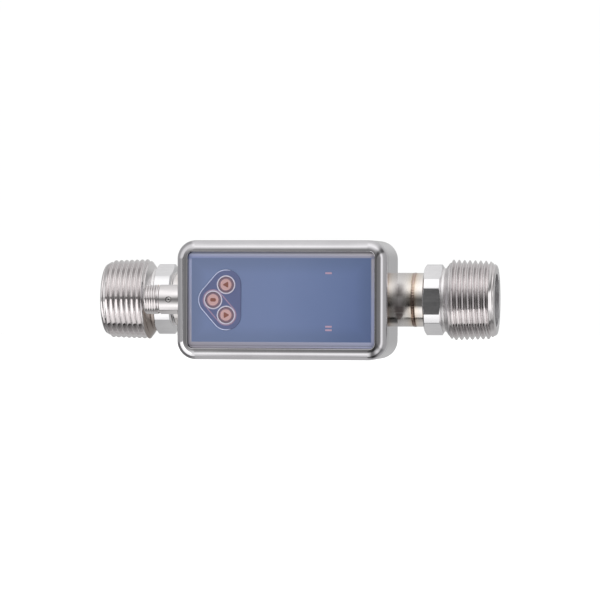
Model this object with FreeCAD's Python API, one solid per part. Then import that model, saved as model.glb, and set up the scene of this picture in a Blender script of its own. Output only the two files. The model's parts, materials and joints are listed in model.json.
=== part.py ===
import FreeCAD, Part
import math
import os
from FreeCAD import Vector as V

# In-line ultrasonic flow sensor. Millimetres.
# Origin: middle of the measuring pipe, on its axis.
# +X runs along the pipe towards the outlet, the display faces -Y, +Z is up.

# ---------------------------------------------------------------- dimensions
END_X = 81.5            # end face of each process fitting from the middle
PIPE_R = 11.05          # outside of the measuring pipe and of the fitting stubs
BORE_R = 9.5            # flow bore, the same through pipe, welds and fittings
PIPE_X = 47.2           # end of the measuring pipe
STUB_X = 48.6           # start of the fitting stub, the weld fills the gap
WELD_CROWN = 0.16       # height of the weld bead over the pipe

HEX_X0, HEX_X1 = 52.15, 58.35 # spanner hexagon
HEX_AF = 27.0                 # across flats
HEX_R = 14.5                  # round bar that the flats are milled on, left at the corners
HEX_TURN = 2.6                # the hexagon is welded on slightly turned
LAND_X, LAND_R = 59.4, 14.45  # round land beside the hexagon
GROOVE_X0, GROOVE_X1 = 59.95, 60.7
GROOVE_R = 12.97              # run-out groove of the thread
RUNOUT_X = 62.2               # the thread groove ends here, in the lead-in cone
THREAD_X0 = 63.3              # full thread starts here
THREAD_R = 16.75              # sharp crest radius at the large end (1 inch taper thread)
CREST_CUT = 0.2               # the crests are turned off by this much
THREAD_PITCH = 2.209          # 11.5 threads per inch
TAPER = 1.0 / 32.0            # radius lost per mm of length
THREAD_DEPTH = 1.72
FIRST_CREST = 63.7            # first crest on the upper side
INLET_TURN = 120.0            # the inlet fitting is welded on a third of a turn round
NOSE = [(78.3, 16.6), (79.0, 15.75), (79.4, 15.4), (81.0, 14.6), (81.3, 14.3), (END_X, 13.9)]  # nose, down to the end face
MOUTH_R, MOUTH_L = 11.0, 12.0 # wider mouth of the bore
MOUTH_CONE = 2.0              # cone from the mouth down to the bore
MOUTH_EDGE = 0.3              # broken edge of the mouth

BOX_W, BOX_H, BOX_R = 84.7, 47.7, 7.5   # housing outline
SIDE_X = BOX_W / 2.0
REAR_Y = -12.8          # back of the housing
SEAM_Y = -44.0          # seam between shell and bezel
SEAM_GAP = 0.3
CREST_Y = -50.5         # front of the bezel
BEZEL_FILLET = 4.1
WALL = 2.0

LENS_W, LENS_H, LENS_R = 74.9, 38.3, 2.0
LENS_Y, LENS_T = -49.7, 3.0
LENS_FACE_W, LENS_FACE_H = 72.3, 33.6
LENS_BEVEL = 0.45
KEYS = {"back": (-22.0, 6.05), "enter": (-27.25, 0.0), "forward": (-22.0, -6.05)}
KEY_R = 2.45
KEY_HOLE_R = 2.65
KEY_TRAVEL = 0.4
PAD_OFFSET = 6.0
PAD_Y = -49.95
RIM_R0, RIM_R1 = 3.2, 3.75
MARKS = [(19.25, 10.7), (19.25, -10.5), (19.25, -11.9)]   # status bars
MARK_W, MARK_H = 2.6, 0.7

CON_Y = -28.0           # axis of the plug connector
CON_R = 6.0             # M12 outside
CON_X0, CON_X1 = -59.4, -53.1   # threaded length
CON_BORE_R = 4.4
CON_SPIGOT_R = 5.0
INSERT_X = -52.4        # face of the contact insert

POST = (36.2, 17.8)     # housing screws
BOARD_X, BOARD_Z = 31.5, 19.0
BOARD_SCREW = (28.0, 16.9)
CARRIER_Y0, CARRIER_Y1 = -44.0, -41.6
DISPLAY_BOARD_Y1 = -40.4
MAIN_Y0, MAIN_Y1 = -34.6, -33.0

WINDOW_X, WINDOW_Z = 26.0, 7.5   # opening over the pipe for the transducers
WEDGE_TOP = -22.0


# ---------------------------------------------------------------- helpers
def box(x0, x1, y0, y1, z0, z1):
    return Part.makeBox(x1 - x0, y1 - y0, z1 - z0, V(x0, y0, z0))


def cyl_x(r, x0, x1, y=0.0, z=0.0):
    return Part.makeCylinder(r, x1 - x0, V(x0, y, z), V(1, 0, 0))


def cyl_y(r, y0, y1, x=0.0, z=0.0):
    return Part.makeCylinder(r, y1 - y0, V(x, y0, z), V(0, 1, 0))


def cyl_z(r, z0, z1, x=0.0, y=0.0):
    return Part.makeCylinder(r, z1 - z0, V(x, y, z0), V(0, 0, 1))


def tube_x(r0, r1, x0, x1, y=0.0, z=0.0):
    return cyl_x(r1, x0, x1, y, z).cut(cyl_x(r0, x0 - 1, x1 + 1, y, z))


def tube_y(r0, r1, y0, y1, x=0.0, z=0.0):
    return cyl_y(r1, y0, y1, x, z).cut(cyl_y(r0, y0 - 1, y1 + 1, x, z))


def rrect_wire(w, h, r, y, cx=0.0, cz=0.0):
    a, b = w / 2.0, h / 2.0
    s = r * math.sqrt(0.5)
    p = lambda x, z: V(cx + x, y, cz + z)
    e = []
    for sx, sz, nx, nz in ((1, 1, -1, 1), (-1, 1, -1, -1), (-1, -1, 1, -1), (1, -1, 1, 1)):
        ax, az = sx * (a - r), sz * (b - r)
        if sx * sz > 0:
            start, end = p(sx * a, az), p(ax, sz * b)
        else:
            start, end = p(ax, sz * b), p(sx * a, az)
        e.append((start, p(ax + sx * s, az + sz * s), end))
    edges = []
    for i in range(4):
        st, mid, en = e[i]
        edges.append(Part.Arc(st, mid, en).toShape())
        nxt = e[(i + 1) % 4][0]
        edges.append(Part.LineSegment(en, nxt).toShape())
    return Part.Wire(edges)


def rrect(w, h, r, y0, y1, cx=0.0, cz=0.0):
    return Part.Face(rrect_wire(w, h, r, y0, cx, cz)).extrude(V(0, y1 - y0, 0))


def revolve_x(points):
    wire = Part.makePolygon([V(x, r, 0) for x, r in points] + [V(points[0][0], points[0][1], 0)])
    return Part.Face(wire).revolve(V(0, 0, 0), V(1, 0, 0), 360)


def group(shapes):
    return Part.makeCompound(shapes)


def fuse(shapes):
    out = shapes[0]
    for s in shapes[1:]:
        out = out.fuse(s)
    return out.removeSplitter()


def poly_y(points, y0, y1):
    """Polygon of (x, z) points, extruded along Y."""
    wire = Part.makePolygon([V(x, y0, z) for x, z in points] + [V(points[0][0], y0, points[0][1])])
    return Part.Face(wire).extrude(V(0, y1 - y0, 0))


def poly_z(points, z0, z1):
    """Polygon of (x, y) points, extruded along Z."""
    wire = Part.makePolygon([V(x, y, z0) for x, y in points] + [V(points[0][0], points[0][1], z0)])
    return Part.Face(wire).extrude(V(0, 0, z1 - z0))


def hull_offset(centres, r, y0, y1):
    """Rounded convex outline: the (x, z) centres, in order, offset outwards by r."""
    n = len(centres)
    cx = sum(c[0] for c in centres) / n
    cz = sum(c[1] for c in centres) / n
    normals = []
    for i in range(n):
        (x0, z0), (x1, z1) = centres[i], centres[(i + 1) % n]
        dx, dz = x1 - x0, z1 - z0
        length = math.hypot(dx, dz)
        nx, nz = dz / length, -dx / length
        if (x0 - cx) * nx + (z0 - cz) * nz < 0:
            nx, nz = -nx, -nz
        normals.append((nx, nz))
    edges = []
    for i in range(n):
        (x, z), before, after = centres[i], normals[i - 1], normals[i]
        mx, mz = before[0] + after[0], before[1] + after[1]
        length = math.hypot(mx, mz)
        mx, mz = mx / length, mz / length
        a = V(x + r * before[0], y0, z + r * before[1])
        m = V(x + r * mx, y0, z + r * mz)
        b = V(x + r * after[0], y0, z + r * after[1])
        edges.append(Part.Arc(a, m, b).toShape())
        nx_, nz_ = centres[(i + 1) % n]
        edges.append(Part.LineSegment(b, V(nx_ + r * after[0], y0, nz_ + r * after[1])).toShape())
    return Part.Face(Part.Wire(edges)).extrude(V(0, y1 - y0, 0))


def lead(points, r):
    """Round lead along straight runs joined by tangent arcs."""
    pts = [V(*p) for p in points]
    edges, at = [], pts[0]
    for i in range(1, len(pts) - 1):
        a, b, c = pts[i - 1], pts[i], pts[i + 1]
        u, w = (a - b), (c - b)
        lu, lw = u.Length, w.Length
        u, w = u * (1.0 / lu), w * (1.0 / lw)
        turn = math.pi - math.acos(max(-1.0, min(1.0, u.dot(w))))
        t = 0.45 * min(lu, lw)
        radius = t / math.tan(turn / 2.0)
        s, e = b + u * t, b + w * t
        half = (u + w)
        half = half * (1.0 / half.Length)
        centre = b + half * math.hypot(t, radius)
        mid = centre - half * radius
        edges.append(Part.LineSegment(at, s).toShape())
        edges.append(Part.Arc(s, mid, e).toShape())
        at = e
        print("lead radius", round(radius, 2), "for diameter", round(2 * r, 2))
    edges.append(Part.LineSegment(at, pts[-1]).toShape())
    path = Part.Wire(edges)
    d = pts[1] - pts[0]
    ring = Part.Wire([Part.Circle(pts[0], d, r).toShape()])
    return path.makePipeShell([ring], True, True)


def thread_cutter(x_start, length, r_start, pitch, depth, flat, taper, over):
    """Right-handed helical groove about the X axis, from x_start towards -X.

    r_start is the crest radius at x_start, and it grows by taper per mm of length.
    At x_start the groove is on the +Z side.
    """
    if taper:
        helix = Part.makeHelix(pitch, length, r_start, math.degrees(math.atan(taper)))
    else:
        helix = Part.makeHelix(pitch, length, r_start)
    half_root = 0.5 * flat
    half_top = half_root + (depth + over) * math.tan(math.radians(30))
    pts = [
        V(r_start - depth, 0, -half_root),
        V(r_start + over, 0, -half_top),
        V(r_start + over, 0, half_top),
        V(r_start - depth, 0, half_root),
    ]
    section = Part.makePolygon(pts + [pts[0]])
    groove = Part.Wire(helix.Edges).makePipeShell([section], True, True)
    groove.rotate(V(0, 0, 0), V(0, 1, 0), -90)
    groove.translate(V(x_start, 0, 0))
    return groove


# ---------------------------------------------------------------- flow line
measuring_pipe = tube_x(BORE_R, PIPE_R, -PIPE_X, PIPE_X)


def weld(x0, x1):
    mid = 0.5 * (x0 + x1)
    a = Part.LineSegment(V(x0, BORE_R, 0), V(x0, PIPE_R, 0)).toShape()
    b = Part.Arc(V(x0, PIPE_R, 0), V(mid, PIPE_R + WELD_CROWN, 0), V(x1, PIPE_R, 0)).toShape()
    c = Part.LineSegment(V(x1, PIPE_R, 0), V(x1, BORE_R, 0)).toShape()
    d = Part.LineSegment(V(x1, BORE_R, 0), V(x0, BORE_R, 0)).toShape()
    return Part.Face(Part.Wire([a, b, c, d])).revolve(V(0, 0, 0), V(1, 0, 0), 360)


outlet_weld = weld(PIPE_X, STUB_X)
inlet_weld = weld(-STUB_X, -PIPE_X)


def crest(x):
    """Theoretical crest radius of the taper thread."""
    return THREAD_R - (x - THREAD_X0) * TAPER


def fitting():
    # threaded bar first, then its ends are turned down
    top = crest(STUB_X) - CREST_CUT
    tip = crest(END_X + 1.1) - CREST_CUT
    bar = Part.makeCone(top, tip, END_X + 1.1 - STUB_X, V(STUB_X, 0, 0), V(1, 0, 0))
    start = FIRST_CREST + 9.5 * THREAD_PITCH
    groove = thread_cutter(start, start - RUNOUT_X, crest(start), THREAD_PITCH, THREAD_DEPTH, 0.12, TAPER, 0.15)
    threaded = bar.cut(groove)
    print("thread groove", round(bar.Volume - threaded.Volume, 1))
    nose = revolve_x(NOSE + [(END_X, 0.0), (END_X + 9, 0.0), (END_X + 9, 20.0), (NOSE[0][0], 20.0)])
    back = revolve_x([
        (STUB_X - 9, PIPE_R), (HEX_X0 + 0.8, PIPE_R), (HEX_X0 + 0.8, 12.5), (HEX_X1, 12.5),
        (HEX_X1, LAND_R), (LAND_X - 0.2, LAND_R), (LAND_X, LAND_R - 0.2), (GROOVE_X0, GROOVE_R),
        (GROOVE_X1, GROOVE_R), (THREAD_X0 + 0.2, THREAD_R), (THREAD_X0 + 0.2, 20.0), (STUB_X - 9, 20.0),
    ])
    threaded = threaded.cut(nose).cut(back).cut(cyl_x(BORE_R, STUB_X - 5, END_X + 5))
    threaded = threaded.cut(revolve_x([
        (END_X - MOUTH_L - MOUTH_CONE, 0.0), (END_X - MOUTH_L - MOUTH_CONE, BORE_R), (END_X - MOUTH_L, MOUTH_R),
        (END_X - MOUTH_EDGE, MOUTH_R), (END_X + 0.2, MOUTH_R + MOUTH_EDGE + 0.2), (END_X + 0.2, 0.0),
    ]))
    corner = HEX_AF / 2.0 / math.cos(math.radians(30))
    pts = []
    for i in range(6):
        a = math.radians(30.0 + 60.0 * i + HEX_TURN)
        pts.append(V(HEX_X0, corner * math.cos(a), corner * math.sin(a)))
    hexagon = Part.Face(Part.makePolygon(pts + [pts[0]])).extrude(V(HEX_X1 - HEX_X0, 0, 0))
    k = math.tan(math.radians(30))
    reach = HEX_AF / 2.0 - 0.12
    turned = revolve_x([
        (HEX_X0, 0.0), (HEX_X0, reach), (HEX_X0 + (HEX_R - reach) * k, HEX_R), (HEX_X1, HEX_R), (HEX_X1, 0.0),
    ])
    hexagon = hexagon.common(turned).cut(cyl_x(BORE_R + 1.0, HEX_X0 - 1, HEX_X1 + 1))
    whole = threaded.fuse(hexagon)
    print("fitting", len(whole.Solids), whole.isValid(), round(whole.Volume, 1))
    return whole


outlet_fitting = fitting()
inlet_fitting = outlet_fitting.copy()
inlet_fitting.rotate(V(0, 0, 0), V(0, 0, 1), 180)
inlet_fitting.rotate(V(0, 0, 0), V(1, 0, 0), INLET_TURN)

saddle = box(-32, 32, REAR_Y, -3.0, -13, 13)
saddle = saddle.makeFillet(2.0, [e for e in saddle.Edges if abs(e.BoundBox.YLength - (-3.0 - REAR_Y)) < 1e-6])
saddle = saddle.cut(cyl_x(PIPE_R + 0.03, -40, 40)).cut(box(-WINDOW_X, WINDOW_X, -20, 0, -WINDOW_Z, WINDOW_Z))
pipe_saddle = saddle.cut(box(-40, 40, -3.5, 5, -PIPE_R - 0.02, PIPE_R + 0.02))

# ---------------------------------------------------------------- housing
outer = rrect(BOX_W, BOX_H, BOX_R, SEAM_Y + SEAM_GAP, REAR_Y)
rear_edges = [e for e in outer.Edges if abs(e.BoundBox.YMin - REAR_Y) < 1e-6 and abs(e.BoundBox.YMax - REAR_Y) < 1e-6]
outer = outer.makeFillet(1.6, rear_edges)
inner = rrect(BOX_W - 2 * WALL, BOX_H - 2 * WALL, BOX_R - WALL, SEAM_Y - 1, REAR_Y - WALL)
shell = outer.cut(inner)
posts = []
for sx in (-1, 1):
    for sz in (-1, 1):
        posts.append(cyl_y(3.4, -39.9, REAR_Y - WALL + 0.5, sx * POST[0], sz * POST[1]))
        # web that ties the post into the corner of the can
        posts.append(
            rrect(BOX_W - 2 * WALL + 1, BOX_H - 2 * WALL + 1, BOX_R - WALL + 0.5, -39.9, REAR_Y - WALL + 0.5)
            .cut(rrect(BOX_W - 2 * WALL - 1.0, BOX_H - 2 * WALL - 1.0, BOX_R - WALL - 0.5, -41, REAR_Y))
            .common(cyl_y(4.6, -39.9, REAR_Y - WALL + 0.5, sx * POST[0], sz * POST[1]))
        )
for sz in (-1, 1):
    posts.append(cyl_y(3.0, WEDGE_TOP, REAR_Y - WALL + 0.5, 0.0, sz * 11.0))
shell = fuse([shell] + posts)
for sx in (-1, 1):
    for sz in (-1, 1):
        shell = shell.cut(cyl_y(1.65, -45, 0, sx * POST[0], sz * POST[1]))
        shell = shell.cut(cyl_y(3.0, REAR_Y - 2.0, REAR_Y + 1, sx * POST[0], sz * POST[1]))
for sz in (-1, 1):
    shell = shell.cut(cyl_y(1.02, WEDGE_TOP - 1, WEDGE_TOP + 6.0, 0.0, sz * 11.0))
shell = shell.cut(box(-WINDOW_X, WINDOW_X, -18, -5, -WINDOW_Z, WINDOW_Z))
shell = shell.cut(cyl_x(CON_SPIGOT_R + 0.1, -SIDE_X - 3, -36, CON_Y, 0))
housing_shell = shell

bez = rrect(BOX_W, BOX_H, BOX_R, CREST_Y, SEAM_Y)
front_edges = [e for e in bez.Edges if abs(e.BoundBox.YMin - CREST_Y) < 1e-6 and abs(e.BoundBox.YMax - CREST_Y) < 1e-6]
bez = bez.makeFillet(BEZEL_FILLET, front_edges)
spigot_w, spigot_h = BOX_W - 2 * WALL - 0.1, BOX_H - 2 * WALL - 0.1
bez = bez.fuse(rrect(spigot_w, spigot_h, BOX_R - WALL - 0.05, SEAM_Y - 0.5, -40.0))
recess = rrect(LENS_W + 0.4, LENS_H + 0.4, LENS_R + 0.2, CREST_Y - 1, LENS_Y + LENS_T + 0.6)
bez = bez.cut(recess)
bez = bez.cut(rrect(68.0, 31.5, 2.0, CREST_Y, SEAM_Y + 1))
hollow = rrect(spigot_w - 3.2, spigot_h - 3.2, BOX_R - WALL - 1.65, SEAM_Y, -39.0)
for sx in (-1, 1):
    for sz in (-1, 1):
        hollow = hollow.cut(cyl_y(3.4, SEAM_Y - 1, -38, sx * POST[0], sz * POST[1]))
        # web between the lug and the corner of the spigot
        hollow = hollow.cut(
            box(min(sx * POST[0], sx * 39), max(sx * POST[0], sx * 39), SEAM_Y - 1, -38,
                min(sz * POST[1], sz * 21), max(sz * POST[1], sz * 21)))
bez = bez.cut(hollow)
for sx in (-1, 1):
    for sz in (-1, 1):
        bez = bez.cut(cyl_y(1.52, -45.5, -39, sx * POST[0], sz * POST[1]))
        bez = bez.cut(cyl_y(1.02, -45.5, -43, sx * BOARD_SCREW[0], sz * BOARD_SCREW[1]))
# softened inner lip
lip = [e for e in bez.Edges if abs(e.BoundBox.YMin - CREST_Y) < 1e-6 and abs(e.BoundBox.YMax - CREST_Y) < 1e-6
       and e.BoundBox.XMax < LENS_W / 2 + 0.3 and e.BoundBox.XMin > -LENS_W / 2 - 0.3
       and e.BoundBox.ZMax < LENS_H / 2 + 0.3 and e.BoundBox.ZMin > -LENS_H / 2 - 0.3]
try:
    soft = bez.makeFillet(0.25, lip)
    if soft.isValid() and soft.Volume > 0:
        bez = soft
except Exception as error:
    print("inner lip left sharp:", error)
front_bezel = bez.removeSplitter()

housing_seal = rrect(BOX_W - 0.7, BOX_H - 0.7, BOX_R - 0.35, SEAM_Y, SEAM_Y + SEAM_GAP).cut(
    rrect(BOX_W - 3.6, BOX_H - 3.6, BOX_R - 1.8, SEAM_Y - 1, SEAM_Y + 1))


def hex_y(af, y0, y1, x, z):
    r = af / 2.0 / math.cos(math.radians(30))
    pts = [(x + r * math.cos(math.radians(60 * i)), z + r * math.sin(math.radians(60 * i))) for i in range(6)]
    return poly_y(pts, y0, y1)


screws = []
for sx in (-1, 1):
    for sz in (-1, 1):
        x, z = sx * POST[0], sz * POST[1]
        s = cyl_y(1.5, -45.2, REAR_Y - 1.9, x, z).fuse(cyl_y(2.75, REAR_Y - 2.0, REAR_Y - 0.2, x, z))
        screws.append(s.cut(hex_y(2.5, REAR_Y - 1.4, REAR_Y, x, z)).removeSplitter())
housing_screws = group(screws)

# ---------------------------------------------------------------- window and keys
low = rrect(LENS_W, LENS_H, LENS_R, LENS_Y + LENS_BEVEL, LENS_Y + LENS_T)
top = Part.makeLoft([
    rrect_wire(LENS_W, LENS_H, LENS_R, LENS_Y + LENS_BEVEL),
    rrect_wire(LENS_FACE_W, LENS_FACE_H, 0.6, LENS_Y),
], True, True)
lens = low.fuse(top).removeSplitter()
centres = [KEYS["back"], KEYS["enter"], KEYS["forward"]]
lens = lens.cut(hull_offset(centres, PAD_OFFSET + 0.04, LENS_Y - 1, LENS_Y + LENS_T + 1))
bars = []
for x, z in MARKS:
    lens = lens.cut(box(x - MARK_W / 2, x + MARK_W / 2, LENS_Y - 1, LENS_Y + 0.5, z - MARK_H / 2, z + MARK_H / 2))
    bars.append(box(x - MARK_W / 2, x + MARK_W / 2, LENS_Y - 0.04, LENS_Y + 0.5, z - MARK_H / 2, z + MARK_H / 2))
display_lens = lens
status_marks = group(bars)
lens_gasket = rrect(LENS_W - 0.4, LENS_H - 0.4, LENS_R - 0.2, LENS_Y + LENS_T, LENS_Y + LENS_T + 0.6).cut(
    rrect(68.6, 32.1, 2.0, LENS_Y, LENS_Y + LENS_T + 1))

pad = hull_offset(centres, PAD_OFFSET, PAD_Y, LENS_Y + LENS_T)
pad_front = [e for e in pad.Edges if abs(e.BoundBox.YMin - PAD_Y) < 1e-6 and abs(e.BoundBox.YMax - PAD_Y) < 1e-6]
pad = pad.makeFillet(0.2, pad_front)
rims, caps, switches = [], {}, []
for name, (x, z) in KEYS.items():
    pad = pad.cut(cyl_y(RIM_R1, PAD_Y - 1, PAD_Y + 0.35, x, z))
    pad = pad.cut(cyl_y(RIM_R0, PAD_Y - 1, PAD_Y + 1.05, x, z))
    pad = pad.cut(cyl_y(KEY_HOLE_R, PAD_Y - 1, -40, x, z))
    rim = tube_y(RIM_R0, RIM_R1, PAD_Y - 0.15, PAD_Y + 0.35, x, z)
    rims.append(rim.makeFillet(0.12, [e for e in rim.Edges if abs(e.BoundBox.YMax - (PAD_Y - 0.15)) < 1e-6]))
    cap = cyl_y(KEY_R, -50.25, -46.55, x, z)
    cap = cap.makeFillet(0.35, [e for e in cap.Edges if abs(e.BoundBox.YMax + 50.25) < 1e-6])
    cap = cap.fuse(cyl_y(3.1, -46.6, -46.0, x, z)).fuse(cyl_y(1.4, -46.1, -44.25, x, z)).removeSplitter()
    caps[name] = cap
    switches.append(box(x - 2.2, x + 2.2, -43.1, CARRIER_Y1, z - 2.2, z + 2.2)
                    .fuse(cyl_y(1.1, -43.7, -43.0, x, z)).removeSplitter())
keypad_pad = pad
key_rims = group(rims)
tactile_switches = group(switches)

# ---------------------------------------------------------------- electronics
display_module = box(-13, 15, -46.4, CARRIER_Y0, -12.5, 12.5)
display_module = display_module.cut(box(-11, 13, -46.5, -46.2, -10.5, 10.5))

carrier = box(-BOARD_X, BOARD_X, CARRIER_Y0, CARRIER_Y1, -BOARD_Z, BOARD_Z)
for x, z in KEYS.values():
    carrier = carrier.cut(box(x - 2.5, x + 2.5, -45, -41, z - 2.5, z + 2.5))
carrier = carrier.cut(box(17.4, 20.8, -45, -41, 9.6, 11.6)).cut(box(17.4, 20.8, -45, -41, -12.8, -9.4))
carrier = carrier.cut(box(15.3, 16.3, -45, -41, -6.5, 6.5))
display_board = box(-BOARD_X, BOARD_X, CARRIER_Y1, DISPLAY_BOARD_Y1, -BOARD_Z, BOARD_Z)
main_board = box(-BOARD_X, BOARD_X, MAIN_Y0, MAIN_Y1, -BOARD_Z, BOARD_Z)
standoffs, bscrews = [], []
for sx in (-1, 1):
    for sz in (-1, 1):
        x, z = sx * BOARD_SCREW[0], sz * BOARD_SCREW[1]
        hole = cyl_y(1.1, -46, -30, x, z)
        carrier, display_board, main_board = carrier.cut(hole), display_board.cut(hole), main_board.cut(hole)
        standoffs.append(tube_y(1.1, 2.0, DISPLAY_BOARD_Y1, MAIN_Y0, x, z))
        s = cyl_y(1.0, -45.2, MAIN_Y1 + 0.1, x, z).fuse(cyl_y(1.9, MAIN_Y1, MAIN_Y1 + 1.3, x, z))
        s = s.cut(box(x - 1.2, x + 1.2, MAIN_Y1 + 0.7, MAIN_Y1 + 2, z - 0.25, z + 0.25))
        bscrews.append(s.removeSplitter())
electronics_carrier = carrier
board_standoffs = group(standoffs)
board_screws = group(bscrews)
light_guides = group([box(x - 1.2, x + 1.2, -46.6, -42.9, z - 0.3, z + 0.3) for x, z in MARKS])
status_leds = group([box(x - 0.5, x + 0.5, -42.5, CARRIER_Y1, z - 0.25, z + 0.25) for x, z in MARKS])
display_flex = fuse([box(15.0, 15.9, -45.2, -45.0, -5, 5), box(15.7, 15.9, -45.2, CARRIER_Y1, -5, 5)])
mezzanine_connector = group([
    box(2, 18, DISPLAY_BOARD_Y1, -37.4, -16.5, -13.0),
    box(2, 18, -37.4, MAIN_Y0, -16.2, -13.3),
])
board_chips = group([
    box(-8, 4, -36.1, MAIN_Y0, -6, 6),
    box(-22, -15, -36.3, MAIN_Y0, 4, 11),
    box(10, 17, -36.0, MAIN_Y0, 5, 12),
    box(20, 27, -37.0, MAIN_Y0, -9, -2),
    box(-4, 4, MAIN_Y1, -31.4, -16, -11),
])

# ---------------------------------------------------------------- transducers
ANGLE = math.radians(40.0)
CA, SA = math.cos(ANGLE), math.sin(ANGLE)


def wedge(sx):
    pts = [(10.5, -9.0), (24.5, -9.0), (24.5, WEDGE_TOP + 11.5 * math.tan(ANGLE)), (13.0, WEDGE_TOP), (10.5, WEDGE_TOP)]
    return poly_z([(sx * x, y) for x, y in pts], -5.5, 5.5).cut(cyl_x(PIPE_R + 0.03, -40, 40))


def disc(sx, r, d0, d1):
    x, y = 18.75, WEDGE_TOP + 5.75 * math.tan(ANGLE)
    n = V(sx * SA, -CA, 0)
    return Part.makeCylinder(r, d1 - d0, V(sx * x, y, 0) + n * d0, n)


upstream_wedge, downstream_wedge = wedge(-1), wedge(1)
upstream_piezo, downstream_piezo = disc(-1, 4.0, 0, 0.9), disc(1, 4.0, 0, 0.9)
upstream_backing, downstream_backing = disc(-1, 4.0, 0.9, 4.0), disc(1, 4.0, 0.9, 4.0)
clamp = fuse([box(-13, 13, WEDGE_TOP - 1.0, WEDGE_TOP, -3.5, 3.5), box(-3.5, 3.5, WEDGE_TOP - 1.0, WEDGE_TOP, -14, 14)])
cscrews = []
for sz in (-1, 1):
    clamp = clamp.cut(cyl_y(1.15, -30, -10, 0, sz * 11.0))
    s = cyl_y(1.0, WEDGE_TOP - 1.1, WEDGE_TOP + 5.5, 0, sz * 11.0).fuse(
        cyl_y(1.9, WEDGE_TOP - 2.4, WEDGE_TOP - 1.0, 0, sz * 11.0))
    cscrews.append(s.cut(hex_y(1.5, WEDGE_TOP - 3, WEDGE_TOP - 1.7, 0, sz * 11.0)).removeSplitter())
transducer_clamp = clamp
clamp_screws = group(cscrews)
temperature_sensor = box(-2.5, 2.5, -13.4, -9, -2, 2).cut(cyl_x(PIPE_R + 0.03, -40, 40))

leads = []
for sx in (-1, 1):
    x0, y0 = 18.75 + 4.0 * SA, WEDGE_TOP + 5.75 * math.tan(ANGLE) - 4.0 * CA
    for dz in (-1.2, 1.2):
        p0 = (sx * x0, y0, dz)
        p1 = (sx * (x0 + 4.0 * SA), y0 - 4.0 * CA, dz)
        leads.append(lead([p0, p1, (p1[0], MAIN_Y1, dz)], 0.4))
transducer_leads = group(leads)
sensor_leads = group([
    lead([(sx * 1.0, -13.4, 0.0), (sx * 1.0, -16.6, 0.0), (sx * 5.6, -19.6, 5.0), (sx * 6.4, -25.0, 5.8),
          (sx * 6.4, MAIN_Y1, 5.8)], 0.3)
    for sx in (-1, 1)])

# ---------------------------------------------------------------- plug connector
CENTRE = V(0, CON_Y, 0)
con = cyl_x(CON_R, CON_X0 - 1.5, -35.8)
groove = thread_cutter(CON_X1 - 0.45, CON_X1 - CON_X0 + 2.7 - 0.45, CON_R, 1.0, 0.55, 0.1, 0.0, 0.1)
blank_volume = con.Volume
con = con.cut(groove)
print("connector groove", round(blank_volume - con.Volume, 2))
con = con.cut(revolve_x([
    (CON_X0 - 9, 0.0), (CON_X0, 0.0), (CON_X0, CON_R - 0.75), (CON_X0 + 0.7, CON_R), (CON_X0 + 0.7, 9.0), (CON_X0 - 9, 9.0)]))
con = con.cut(revolve_x([
    (CON_X1 - 0.75, 6.3), (CON_X1 - 0.62, 5.32), (CON_X1 - 0.2, 5.32), (CON_X1 + 0.4, 6.1), (CON_X1 + 0.4, 6.3)]))
con = con.cut(tube_x(CON_SPIGOT_R, 9.0, -SIDE_X, -30.0)).cut(tube_x(CON_SPIGOT_R, CON_SPIGOT_R + 0.8, -SIDE_X - 0.8, -SIDE_X + 1))
con = con.cut(cyl_x(CON_BORE_R, CON_X0 - 3, -30)).cut(
    Part.makeCone(CON_BORE_R + 0.4, CON_BORE_R, 0.4, V(CON_X0, 0, 0), V(1, 0, 0)))
key_rib = box(CON_X0 + 1.2, INSERT_X, -0.55, 0.55, CON_BORE_R - 0.7, CON_BORE_R + 0.3)
con = con.fuse(key_rib)
con.translate(CENTRE)
index_x = -48.75
con = con.cut(cyl_y(1.22, CON_Y - CON_R - 1, CON_Y - CON_R + 0.7, index_x, 0))
connector_shell = con.removeSplitter()
connector_index_pin = cyl_y(1.2, CON_Y - CON_R + 0.22, CON_Y - CON_R + 0.7, index_x, 0)
insert = cyl_x(CON_BORE_R - 0.03, INSERT_X, -35.4, CON_Y, 0)
pins = []
for a in (45, 135, 225, 315):
    y = CON_Y + 2.75 * math.cos(math.radians(a))
    z = 2.75 * math.sin(math.radians(a))
    insert = insert.cut(cyl_x(0.52, INSERT_X - 1, -30, y, z))
    pin = revolve_x([(-55.8, 0.0), (-55.8, 0.2), (-55.65, 0.36), (-55.35, 0.5), (-34.2, 0.5), (-34.2, 0.0)])
    pin.translate(V(0, y, z))
    pins.append(pin)
connector_insert = insert
connector_pins = group(pins)
connector_oring = Part.makeTorus(CON_SPIGOT_R + 0.4, 0.36, V(-SIDE_X - 0.4, CON_Y, 0), V(1, 0, 0))
hexr = 13.0 / 2 / math.cos(math.radians(30))
nut_pts = [V(-SIDE_X + WALL + 0.02, CON_Y + hexr * math.cos(math.radians(60 * i)), hexr * math.sin(math.radians(60 * i))) for i in range(6)]
connector_nut = Part.Face(Part.makePolygon(nut_pts + [nut_pts[0]])).extrude(V(2.8, 0, 0)).cut(
    cyl_x(CON_SPIGOT_R + 0.02, -45, -30, CON_Y, 0))
wires = []
for a, run in ((45, 7.0), (315, 7.0), (135, 4.6), (225, 4.6)):
    y = CON_Y + 2.75 * math.cos(math.radians(a))
    z = 2.75 * math.sin(math.radians(a))
    wires.append(lead([(-34.2, y, z), (-34.2 + run, y, z), (-34.2 + run, MAIN_Y1, z)], 0.22))
connector_wires = group(wires)

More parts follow.
